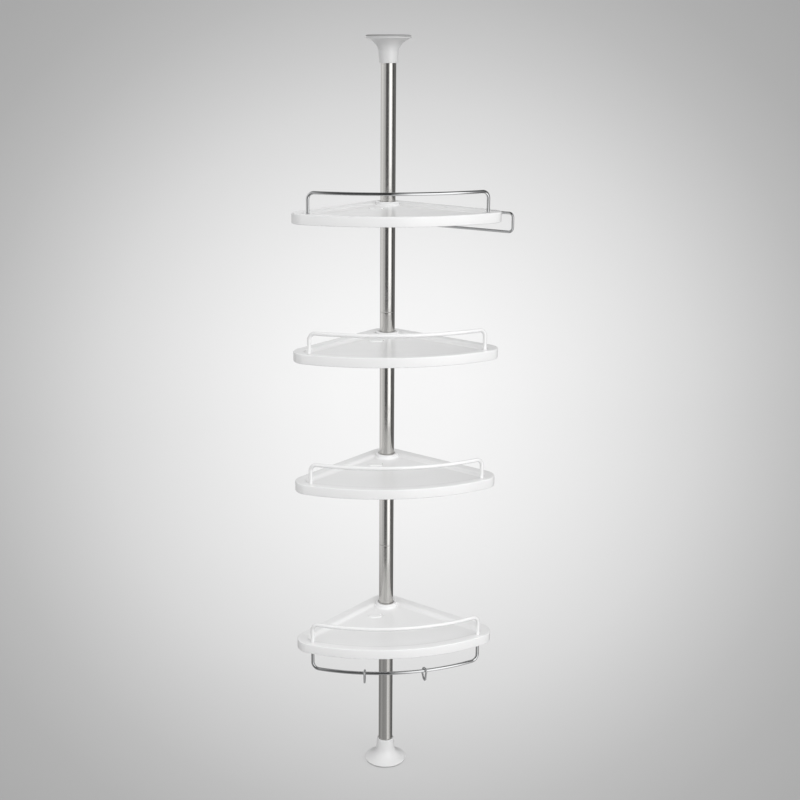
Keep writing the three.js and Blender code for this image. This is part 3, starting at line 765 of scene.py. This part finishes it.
# Trays: three kinds of one moulding, each lifted to its place on the pole
def makeTrays():
    shell = trayShell()
    plain = trayMesh(shell, wires["coated"])
    kinds = {
        "top": trayMesh(shell, wires["chrome"], towelLoop=True),
        "upper": plain,
        "lower": plain,
        "bottom": trayMesh(shell, wires["coated"], hangingRail=True),
    }
    for name, height in shelfRims.items():
        mesh = liftedCopy(kinds[name], name + "Tray", height)
        body, nodes = name + "_shelf", [name + "_tray"]
        piece(name + "Tray", mesh, whitePlastic, body, nodes, sharp=30)
        print("tray", name, len(mesh.polygons), "faces")


makeTrays()


# A rail's centre line: bent flat in distance along the front and height, then wrapped on the upright
# cylinder that runs a little inside the tray's front
def railPath(legEnd, run, height):
    reach = railRadius * math.asin(wires["halfSpan"] / railRadius)
    flat = bentLine([(-reach, legEnd), (-reach, run), (reach, run), (reach, legEnd)], wires["bend"], 2.5)
    angle = flat[:, 0] / railRadius
    outward = np.stack([np.sin(angle), -np.cos(angle), 0 * angle], 1)
    path = outward * railRadius + (0, frontCentre, 0)
    path[:, 2] = height + flat[:, 1]
    return path, outward


# Rails: a round wire along that line on each tray, and one turned down under the bottom tray
def makeRails():
    legEnd = fit - tray["socketDepth"]
    for name, height in shelfRims.items():
        path, outward = railPath(legEnd, wires["height"], height)
        isTop = name == "top"
        mesh = wireMesh(name + "Rail", path, outward, wires["chrome" if isTop else "coated"], 28)
        piece(
            name + "Rail", mesh, chromeWire if isTop else whiteCoating, name + "_shelf",
            [name + "_rail"],
        )
    legEnd = ribLow + tray["hangingSocket"] - fit
    run = -tray["depth"] - wires["hangingDrop"]
    path, outward = railPath(legEnd, run, shelfRims["bottom"])
    mesh = wireMesh("hangingRail", path, outward, wires["hanging"], 28)
    piece("hangingRail", mesh, chromeWire, "bottom_shelf", ["hanging_rail"])
    print("rails made")


makeRails()


# Towel loop: a bent line in the upright plane through the pole at the loop's bearing
def makeTowelLoop():
    top, low = -loop["drop"], -loop["drop"] - loop["height"]
    corners = [
        (loop["upperEnd"], top), (loop["reach"], top), (loop["reach"], low),
        (loop["innerEnd"], low), (loop["innerEnd"], trayUnder - fit),
    ]
    flat = bentLine(corners, loop["bend"], 3)
    path = atAngle(loop["bearing"], flat[:, 0], 0, shelfRims["top"] + flat[:, 1])
    side = np.tile(atAngle(loop["bearing"], 0, 1, 0), (len(path), 1))
    mesh = wireMesh("towelLoop", path, side, loop["wire"])
    piece("towelLoop", mesh, chromeWire, "top_shelf", ["towel_loop"])
    print("towel loop made")


makeTowelLoop()

hook = {
    "wire": 1.6,
    "curl": 5.2,
    "bend": 2.6,
    "height": 24.2,
    "tip": 10.5,
    "mouth": 20.0,
    "flare": 35.0,
    "lean": 10.0,
    "places": {"left": (-10.5, 0.0), "right": (8.5, 18.0)},  # bearing along the rail and twist
}


# A hook's centre line in its own plane: a curl over the rail, a shank down its front, a bend and a tip
def hookPath():
    crown = wires["hanging"] + fit + hook["wire"]
    bendHeight = crown + 2 * hook["wire"] - hook["height"] + hook["bend"]
    across = hook["bend"] - hook["curl"]
    curl = arcPoints(0, crown - hook["curl"], hook["curl"], hook["mouth"], 180, 32)
    bend = arcPoints(across, bendHeight, hook["bend"], 180, 360 - hook["flare"], 28)
    flare = math.radians(hook["flare"])
    tip = bend[-1] + hook["tip"] * np.array([math.sin(flare), math.cos(flare)])
    return np.concatenate([
        curl, linePoints(curl[-1], bend[0], 6)[1:], bend, linePoints(bend[-1], tip, 6)[1:], tip[None],
    ])


# Hooks: their line leans in its own plane, and is then turned to its bearing on the rail and twisted
def makeHooks():
    across, height, _ = atAngle(hook["lean"], *hookPath().T, 0).T
    run = shelfRims["bottom"] - tray["depth"] - wires["hangingDrop"]
    for name, (bearing, twist) in hook["places"].items():
        at, face = math.radians(bearing), bearing + twist
        centre = (railRadius * math.sin(at), frontCentre - railRadius * math.cos(at), run)
        path = centre + atAngle(face, 0, across, height)
        side = np.tile(atAngle(face, 1, 0, 0), (len(path), 1))
        mesh = wireMesh(name + "Hook", path, side, hook["wire"], 20, roundTips=True)
        piece(name + "Hook", mesh, chromeWire, name + "_hook", [name + "_hook"])
    print("hooks made")


makeHooks()

pole = {
    "radius": 12.5,
    "wall": 1.0,
    "length": 416.0,
    "bottom": 6.6,
    "edge": 0.25,
    "endRing": 2.0,  # from each end, keeps the long faces' shading straight
    "clipTopWall": 1.2,
    "clipBottomWall": 3.2,
    "clipSink": 0.9,
    "clipEdge": 0.3,
    "flange": 18.4,
    "flangeThickness": 2.0,
    "flangeEdge": 0.5,
    "split": 1.2,
}


# Tubes: a ring section with softened edges, carried round the axis
def makeTubes():
    outer, inner = pole["radius"], pole["radius"] - pole["wall"]
    edge, ring = pole["edge"], pole["endRing"]
    for index, name in enumerate(("lower", "middle", "upper")):
        low = pole["bottom"] + index * (pole["length"] + fit)
        high = low + pole["length"]
        profile = np.concatenate([
            [(inner, low + edge), (inner + edge, low)],
            arcPoints(outer - edge, low + edge, edge, -90, 0, 4),
            [(outer, low + ring), (outer, high - ring)],
            arcPoints(outer - edge, high - edge, edge, 0, 90, 4),
            [(inner + edge, high), (inner, high - edge), (inner, high - ring), (inner, low + ring)],
        ])
        mesh = turnedMesh(name + "Tube", profile, sides=128)
        piece(name + "Tube", mesh, stainlessTube, "pole", [name + "_tube"])
    print("tubes made")


makeTubes()


# Wedge clips: the sleeve's section carried round half a turn, less half the split at each end
def makeClips():
    bore, flange = pole["radius"] + fit, pole["flange"]
    top, bottom = hubRise - pole["clipSink"], -tray["hubDrop"] - fit
    low, wide = bottom - pole["flangeThickness"], bore + pole["clipTopWall"]
    edge, lower = pole["clipEdge"], pole["flangeEdge"]
    section = np.array([
        (bore, low + edge), (bore + edge, low), (flange - lower, low), (flange, low + lower),
        (flange, bottom - edge), (flange - edge, bottom), (bore + pole["clipBottomWall"], bottom),
        (wide, top - edge), (wide - edge, top), (bore, top),
    ])
    gap = math.degrees(math.asin(pole["split"] / 2 / bore))
    for shelf, height in shelfRims.items():
        for half, start in (("Rear", 0), ("Front", 180)):
            name, node = shelf + "Clip" + half, shelf + "_clip_" + half.lower()
            ends = (start + gap, start + 180 - gap)
            mesh = turnedMesh(name, section + (0, height), sides=49, span=ends)
            piece(name, mesh, whitePlastic, shelf + "_clamp", [node])
    print("clips made")


makeClips()

cup = {
    "height": 44.0,
    "rim": 37.0,
    "edge": 2.0,
    "floor": 3.3,
    "endWall": 3.0,
    "shell": 2.2,
    "flare": 20.0,
    "waist": 16.2,
    "mouth": 15.0,
    "socket": 12.8,
    "lip": 1.0,
    "waistShare": 0.1,
    "kneeShare": 0.31,
    "rib": 1.6,
    "ribs": 6,
    "padThickness": 3.0,
    "padFlat": 24.0,
    "padEdge": 1.6,
    "plug": 28.0,
    "plugHeight": 2.2,
    "plugWall": 2.4,
}


# The flare: a quadratic curve from the rim in to the sleeve, moved inwards for the shell's inside
def flareLine(outset, low):
    rim, waist = cup["rim"] - outset, cup["waist"] - outset
    start = np.array([rim, low])
    knee = np.array([waist + (rim - waist) * cup["waistShare"], low + cup["flare"] * cup["kneeShare"]])
    end = np.array([waist, low + cup["flare"]])
    t = np.linspace(0, 1, 26)[:, None]
    return (1 - t) ** 2 * start + 2 * t * (1 - t) * knee + t**2 * end


# Cup seen from its face: outer skin, mouth, socket and the hollow behind the flare as one section
def cupProfile():
    c, floor, rim, waist, socket = cup, cup["floor"], cup["rim"], cup["waist"], cup["socket"]
    rimTop, seat, top = floor + c["edge"], floor + c["endWall"], c["height"]
    edge, lower, upper = 0.4, 1, 0.8  # chamfers, and the rim's two roundings
    inside = flareLine(c["shell"], floor + edge)
    inside = inside[inside[:, 0] > waist]
    roof = inside[-1, 1]
    return np.concatenate([
        [(0, floor), (waist - edge, floor), (waist, floor + edge)],
        [(waist, roof - 0.5), (waist + 0.2, roof)],
        inside[::-1],
        [(rim - c["shell"] + edge, floor)],
        arcPoints(rim - lower, floor + lower, lower, -90, 0, 6),
        arcPoints(rim - upper, rimTop - upper, upper, 0, 52, 5),
        flareLine(0, rimTop)[1:],
        arcPoints(c["mouth"] - c["lip"], top - c["lip"], c["lip"], 0, 90, 7),
        [(socket + edge, top), (socket, top - edge), (socket, seat), (0, seat)],
    ])


# Pad: a flat disc that curves up to its edge along a quarter ellipse, with a ring that plugs in the cup
def padProfile():
    c = cup
    edge, plug, top = c["rim"] - c["edge"] / 2, c["plug"], c["padThickness"]
    inner, plugTop, chamfer = plug - c["plugWall"], top + c["plugHeight"], 0.3
    crown = arcPoints(0, 0, 1, -90, 0, 14) * (edge - c["padFlat"], c["padEdge"])
    return np.concatenate([
        [(0, 0)],
        crown + (c["padFlat"], c["padEdge"]),
        [(edge, top - chamfer), (edge - chamfer, top), (plug, top), (plug, plugTop)],
        [(inner, plugTop), (inner, top), (0, top)],
    ])


# Ribs behind the flare: plates on edge from inside the waist to the middle of the shell
def cupFins(sign, base):
    inner, low = cup["waist"] - 1, cup["floor"] + 2.5
    line = flareLine(cup["shell"] / 2, cup["floor"] + 0.8)
    line = line[(line[:, 0] > inner) & (line[:, 1] > low)]
    points = np.array([(inner, low), (line[0, 0], low), *line, (inner, line[-1, 1])])
    return gathered("cupFins", [
        finMesh(points * (1, sign) + (0, base), cup["rib"], 360 / cup["ribs"] * index)
        for index in range(cup["ribs"])
    ])


# Both ends from the same sections: the ceiling end is the foot turned over
def makeEnds():
    ceiling = round(frame["record"]["mounts"][1]["pos_m"][2] / mm, 3)
    for name, sign, base, body in (("foot", 1, 0, "pole"), ("ceiling", -1, ceiling, "ceiling_end")):
        shell = turnedMesh(name + "Cup", cupProfile() * (1, sign) + (0, base), sides=128)
        shell = combined(shell, cupFins(sign, base), "UNION")
        piece(name + "Cup", shell, cupPlastic, body, [name + "_cup"])
        pad = turnedMesh(name + "Pad", padProfile() * (1, sign) + (0, base), sides=128)
        piece(name + "Pad", pad, greyRubber, body, [name + "_pad"])
    print("ends made")


makeEnds()

spring = {
    "low": 1169.6,
    "length": 62.0,
    "travel": 20.0,  # by which the ceiling end shortens it
    "coil": 10.0,
    "wire": 0.9,
    "turns": 11,
}


# Tension spring: a helix whose height grows evenly with its angle
def makeSpring():
    angle = np.linspace(0, spring["turns"] * turn, spring["turns"] * 32 + 1)
    rise = spring["length"] - 2 * spring["wire"]
    height = spring["low"] + spring["wire"] + rise * angle / angle[-1]
    side = np.stack([np.cos(angle), np.sin(angle), 0 * angle], 1)
    path = side * spring["coil"] + np.stack([0 * angle, 0 * angle, height], 1)
    mesh = wireMesh("tensionSpring", path, side, spring["wire"], 12)
    made = piece("tensionSpring", mesh, springSteel, "pole", ["tension_spring"])
    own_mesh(made)
    print("spring made")


makeSpring()


# Pieces hidden in pole and ceiling end keep their frame shape and get a finish of their own
def finishHidden():
    finishes = {
        innerPlastic: ("lower_connector", "upper_connector", "guide_bush", "spring_seat"),
        springSteel: ("plunger_rod", "plunger_head", "stop_disc"),
    }
    for material, names in finishes.items():
        for name in names:
            mesh = frame["nodes"][name].data
            mesh.materials.clear()
            mesh.materials.append(material)


finishHidden()

studio = {
    "floorEdge": 6.0,
    "wallY": 3.4,
    "wallTop": 6.0,
    "sweep": 1.2,
    "spread": 0.45,  # angle from the line of sight at which the painted fall-off reaches its last tone
    # the floor's painted shade: grey by share of that angle, darker away from the middle
    "paintedFalloff": [(0, 0.983), (0.1, 0.976), (0.2, 0.938), (0.3, 0.88), (0.4, 0.81), (0.5, 0.729),
              (0.6, 0.627), (0.7, 0.531), (0.8, 0.463), (0.9, 0.427), (1, 0.42)],
    "plain": 0.8,  # share of the floor's painted tone that glows and is seen as written
    "sky": [(0, 0.02), (0.25, 0.04), (0.5, 1.0), (1, 0.04)],  # grey by the sine of the height
    "skyStrength": 1.9,
    "beyond": 0.42,  # grey past the floor's edge
}
lamps = {
    "keyLamp": {"place": (1.1, -2.0, 1.25), "target": (0, 0, 0.8), "size": (1.8, 1.4), "power": 24},
    "fillLamp": {"place": (-1.8, -2.0, 1.0), "target": (0, 0, 0.6), "size": (1.6, 1.6), "power": 5},
}


# Floor and back wall: a line with a quarter circle between the two, drawn out sideways
def makeFloor():
    wall, sweep = studio["wallY"], studio["sweep"]
    line = np.concatenate([
        [(-studio["floorEdge"], 0)],
        arcPoints(wall - sweep, sweep, sweep, -90, 0, 16),
        [(wall, studio["wallTop"])],
    ])
    across = np.linspace(-studio["floorEdge"], studio["floorEdge"], 9)
    x, y = np.meshgrid(across, line[:, 0])
    z = np.repeat(line[:, 1:], len(across), 1)
    index = np.arange(x.size).reshape(x.shape)
    quads = np.stack([index[:-1, :-1], index[:-1, 1:], index[1:, 1:], index[1:, :-1]], -1)
    mesh = bpy.data.meshes.new("floor")
    points = np.stack([x, y, z], -1).reshape(-1, 3)
    mesh.from_pydata(points.tolist(), [], quads.reshape(-1, 4).tolist())
    mesh.polygons.foreach_set("use_smooth", np.ones(len(mesh.polygons), bool))
    floor = placed("floor", mesh)
    mesh.materials.append(floorMaterial())


# The floor's tone is painted light: pale in the middle, it falls off with the angle from one fixed line
# of sight as painted shade. Eyes and mirrors see it mostly as written, as a glow, and the rest of it
# takes light and shadow.
def floorMaterial():
    made, tree = newMaterial("paintedFalloffFloor")
    place = newNode(tree, "TexCoord", {})["Object"]
    sight = vectorNode(tree, "NORMALIZE", vectorNode(tree, "SUBTRACT", place, camera["place"]))
    angle = mathNode(tree, "ARCCOSINE", vectorNode(tree, "DOT_PRODUCT", sight, camera["ahead"]))
    tone = greyRamp(tree, mathNode(tree, "DIVIDE", angle, studio["spread"]), studio["paintedFalloff"])
    lit = tree.nodes["Principled BSDF"]
    feed(tree, lit, {"Base Color": tone, "Roughness": 0.9, "Specular IOR Level": 0.1})
    shown = newNode(tree, "Emission", {"Color": tone})[0]
    light = newNode(tree, "LightPath", {})
    seen = mathNode(tree, "MAXIMUM", light["Is Camera Ray"], light["Is Glossy Ray"])
    seen = mathNode(tree, "MAXIMUM", seen, light["Is Transmission Ray"])
    share = mathNode(tree, "MULTIPLY", seen, studio["plain"])
    mixed = shaderNode(tree, share, lit.outputs[0], shown)
    feed(tree, tree.nodes["Material Output"], {"Surface": mixed})
    return made


tent = {
    "reach": 1.5,
    "low": 0.004,
    "shoulder": 1.9,
    "top": 2.5,
    "strength": 2.0,
    # grey round the tent, by bearing from straight ahead, in degrees, left negative
    "bands": [(-180, 0.46), (-140, 0.33), (-110, 0.52), (-85, 0.44), (-65, 0.32), (-50, 0.37),
              (-42, 0.12), (-30, 0.05), (-12, 0.06), (0, 0.02), (5, 0.35), (14, 0.82), (30, 0.92),
              (45, 0.95), (53, 0.29), (66, 0.01), (80, 0.06), (100, 0.1), (125, 0.11), (145, 0.04),
              (160, 0.22), (180, 0.46)],
    "floorBands": [(-180, 0.16), (-140, 0.16), (-110, 0.13), (-85, 0.23), (-65, 0.22), (-50, 0.16),
                   (-42, 0.17), (-30, 0.19), (-12, 0.19), (0, 0.2), (5, 0.22), (14, 0.28), (30, 0.58),
                   (45, 0.38), (58, 0.39), (66, 0.21), (80, 0.1), (100, 0.12), (125, 0.05), (145, 0.06),
                   (160, 0.12), (180, 0.16)],
    "roofBands": [(-180, 0.3), (-110, 0.2), (-60, 0.03), (66, 0.02), (100, 0.04), (145, 0.15),
                  (180, 0.3)],
    "toWall": [(0.36, 0), (0.85, 1)],  # by distance from the pole, as a share of the reach
    "toRoof": [(0.8, 0), (0.9, 1)],  # by height, as a share of the top
}


# The tent glows by bearing, with bands of their own on its wall, its floor and its roof. The floor's
# bands go over to the wall's with distance from the pole.
def tentMaterial():
    made, tree = newMaterial("tent")
    apart = newNode(tree, "SeparateXYZ", {0: newNode(tree, "TexCoord", {})["Object"]})
    forward = mathNode(tree, "MULTIPLY", apart["Y"], -1.0)
    bearing = mathNode(tree, "ARCTAN2", apart["X"], forward)
    share = mathNode(tree, "ADD", mathNode(tree, "DIVIDE", bearing, turn), 0.5)
    wall, ground, roof = (
        greyRamp(tree, share, [(b / 360 + 0.5, grey) for b, grey in tent[key]])
        for key in ("bands", "floorBands", "roofBands")
    )
    height = mathNode(tree, "DIVIDE", apart["Z"], tent["top"])
    across = mathNode(tree, "MULTIPLY", apart["X"], apart["X"])
    along = mathNode(tree, "MULTIPLY", apart["Y"], apart["Y"])
    away = mathNode(tree, "POWER", mathNode(tree, "ADD", across, along), 0.5)
    toWall = greyRamp(tree, mathNode(tree, "DIVIDE", away, tent["reach"]), tent["toWall"])
    toRoof = greyRamp(tree, height, tent["toRoof"])
    sides = colourNode(tree, "MIX", toWall, ground, wall)
    shown = colourNode(tree, "MIX", toRoof, sides, roof)
    glow = newNode(tree, "Emission", {"Color": shown, "Strength": tent["strength"]})[0]
    feed(tree, tree.nodes["Material Output"], {"Surface": glow})
    return made


# Tent round the object, which only mirrors see: an upright line and a quarter ellipse, turned
def makeTent():
    reach, low, shoulder, top = (tent[key] / mm for key in ("reach", "low", "shoulder", "top"))
    dome = arcPoints(0, 0, 1, 0, 90, 9) * (reach, top - shoulder) + (0, shoulder)
    mesh = turnedMesh("tent", np.concatenate([[(0, low), (reach, low)], dome]), sides=72)
    made = placed("tent", mesh)
    mesh.materials.append(tentMaterial())
    made.visible_camera = made.visible_diffuse = made.visible_shadow = False
    made.visible_transmission = made.visible_volume_scatter = False


# Soft lamps, each a rectangle that faces its target
def makeLamps():
    for name, lamp in lamps.items():
        data = bpy.data.lights.new(name, "AREA")
        data.shape, data.energy = "RECTANGLE", lamp["power"]
        data.size, data.size_y = lamp["size"]
        made = placed(name, data)
        made.location = lamp["place"]
        aim = Vector(lamp["target"]) - Vector(lamp["place"])
        made.rotation_euler = aim.to_track_quat("-Z", "Y").to_euler()
        made.visible_glossy = False


# World: light by the height over the horizon, and one plain grey to the camera
def makeWorld():
    world = bpy.data.worlds.new("studio")
    world.use_nodes = True
    bpy.context.scene.world = world
    tree = world.node_tree
    glow = tree.nodes["Background"]
    apart = newNode(tree, "SeparateXYZ", {0: newNode(tree, "TexCoord", {})["Generated"]})
    sky = greyRamp(tree, apart["Z"], studio["sky"])
    feed(tree, glow, {"Color": sky, "Strength": studio["skyStrength"]})
    shown = newNode(tree, "Background", {"Color": (studio["beyond"],) * 3 + (1,)})[0]
    seen = newNode(tree, "LightPath", {})["Is Camera Ray"]
    mixed = shaderNode(tree, seen, glow.outputs[0], shown)
    feed(tree, tree.nodes["World Output"], {"Surface": mixed})


makeFloor()
makeWorld()
makeLamps()
makeTent()
print("studio made")

bpy.context.scene.view_settings.view_transform = "Standard"
